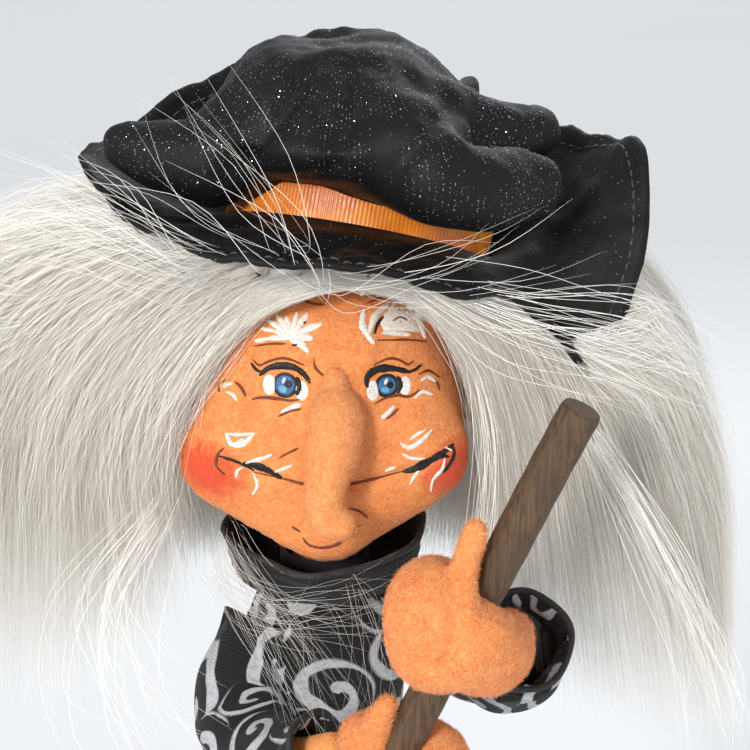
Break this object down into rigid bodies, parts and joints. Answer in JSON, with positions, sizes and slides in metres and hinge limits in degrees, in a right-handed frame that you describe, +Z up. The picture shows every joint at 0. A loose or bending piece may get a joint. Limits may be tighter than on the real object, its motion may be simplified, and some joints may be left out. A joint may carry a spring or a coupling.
{
  "type": "animated witch display figure",
  "caption": "Felt witch display doll holding a broom on a round battery base whose geared motor turns the body and head.",
  "frame": {"origin": "centre of the round base on the plane its rubber feet stand on", "axes": "+Z up, -Y the way the figure faces, +X to the right of a viewer in front of her"},
  "size_m": [0.2061, 0.161, 0.464],
  "materials": {
    "base_shell": "moulded black plastic, satin",
    "base_plate": "moulded black plastic, matte",
    "base_cover": "burnt orange craft felt",
    "rubber_feet": "soft black rubber",
    "plate_screws": "zinc-plated steel",
    "battery_box": "moulded black plastic",
    "batteries": "plain printed jacket, no lettering",
    "battery_contacts": "nickel-plated spring strip",
    "battery_door": "moulded black plastic, matte",
    "switch_body": "moulded black plastic",
    "switch_knob": "pale grey plastic",
    "control_board": "green board with black parts",
    "lead_wires": "red insulated wire",
    "gearbox": "cream nylon",
    "drive_motor": "drawn steel can",
    "bearing_bracket": "pressed steel",
    "drive_screws": "zinc-plated steel",
    "output_shaft": "ground steel",
    "body_pinion": "cream acetal",
    "head_pinion": "cream acetal",
    "body_gear": "cream acetal",
    "head_gear": "cream acetal",
    "support_tube": "drawn steel tube with a welded flange",
    "flange_screws": "zinc-plated steel",
    "spindle_bushes": "sintered bronze",
    "torso_spindle": "drawn steel tube",
    "spindle_liners": "sintered bronze",
    "head_spindle": "ground steel rod",
    "hip_block": "plain turned wood",
    "leg_wires": "galvanised wire",
    "right_leg": "stuffed knit stocking, orange and black rings",
    "left_leg": "stuffed knit stocking, orange and black rings",
    "right_shoe": "stuffed black felt",
    "left_shoe": "stuffed black felt",
    "shoe_screws": "zinc-plated steel",
    "torso_hub": "plain turned wood",
    "torso_padding": "muslin stuffed with fibre",
    "shoulder_bar": "plain wood block",
    "bodice": "black satin printed with pale scrolls",
    "skirt": "black satin printed with pale scrolls",
    "neck": "peach-orange felt",
    "collar": "plain black cotton",
    "arm_wires": "galvanised wire",
    "right_arm": "stuffed peach-orange felt",
    "left_arm": "stuffed peach-orange felt",
    "right_hand": "stuffed peach-orange felt",
    "left_hand": "stuffed peach-orange felt",
    "right_sleeve": "black satin printed with pale scrolls",
    "left_sleeve": "black satin printed with pale scrolls",
    "broomstick": "wood dowel painted dark brown",
    "broom_bristles": "bundled straw",
    "bristle_binding": "brown twine",
    "head_former": "firm padding round a turned core",
    "face": "peach-orange felt, painted features",
    "nose": "stuffed peach-orange felt",
    "wig": "ivory long-pile fur fabric",
    "hat_brim": "black fabric with metallic thread",
    "hat_crown": "black fabric with metallic thread",
    "hat_band": "orange ribbed ribbon"
  },
  "bodies": {
    "base": {"base_shell": "base_shell", "base_plate": "base_plate", "base_cover": "base_cover", "rubber_feet": "rubber_feet", "plate_screws": "plate_screws", "battery_box": "battery_box", "batteries": "batteries", "battery_contacts": "battery_contacts", "switch_body": "switch_body", "control_board": "control_board", "lead_wires": "lead_wires", "gearbox": "gearbox", "drive_motor": "drive_motor", "bearing_bracket": "bearing_bracket", "drive_screws": "drive_screws", "support_tube": "support_tube", "flange_screws": "flange_screws", "spindle_bushes": "spindle_bushes", "hip_block": "hip_block", "leg_wires": "leg_wires", "right_leg": "right_leg", "left_leg": "left_leg", "right_shoe": "right_shoe", "left_shoe": "left_shoe", "shoe_screws": "shoe_screws"},
    "door": {"battery_door": "battery_door"},
    "switch": {"switch_knob": "switch_knob"},
    "pinions": {"output_shaft": "output_shaft", "body_pinion": "body_pinion", "head_pinion": "head_pinion"},
    "upper_body": {"body_gear": "body_gear", "torso_spindle": "torso_spindle", "spindle_liners": "spindle_liners", "torso_hub": "torso_hub", "torso_padding": "torso_padding", "shoulder_bar": "shoulder_bar", "bodice": "bodice", "skirt": "skirt", "neck": "neck", "collar": "collar", "arm_wires": "arm_wires", "right_arm": "right_arm", "left_arm": "left_arm", "right_hand": "right_hand", "left_hand": "left_hand", "right_sleeve": "right_sleeve", "left_sleeve": "left_sleeve", "broomstick": "broomstick", "broom_bristles": "broom_bristles", "bristle_binding": "bristle_binding"},
    "head": {"head_gear": "head_gear", "head_spindle": "head_spindle", "head_former": "head_former", "face": "face", "nose": "nose", "wig": "wig", "hat_brim": "hat_brim", "hat_crown": "hat_crown", "hat_band": "hat_band"}
  },
  "joints": [
    {"name": "waist_turn", "type": "hinge", "parent": "base", "child": "upper_body", "pos_m": [0, 0, 0.15], "axis": [0, 0, 1], "range_deg": [-18, 18]},
    {"name": "head_turn", "type": "hinge", "parent": "upper_body", "child": "head", "pos_m": [0, 0, 0.3], "axis": [0, 0, 1], "range_deg": [-18, 18]},
    {"name": "motor_spin", "type": "hinge", "parent": "base", "child": "pinions", "pos_m": [0.03, 0, 0.03], "axis": [0, 0, 1], "range_deg": [-54, 54]},
    {"name": "switch_slide", "type": "slide", "parent": "base", "child": "switch", "axis": [1, 0, 0], "range_m": [0, 0.006]},
    {"name": "battery_door_hinge", "type": "hinge", "parent": "base", "child": "door", "pos_m": [-0.009, 0, 0.0056], "axis": [0, 1, 0], "range_deg": [-95, 0]}
  ],
  "couplings": [
    {"joint": "head_turn", "follows": "waist_turn", "ratio": 1},
    {"joint": "motor_spin", "follows": "waist_turn", "ratio": -3}
  ]
}
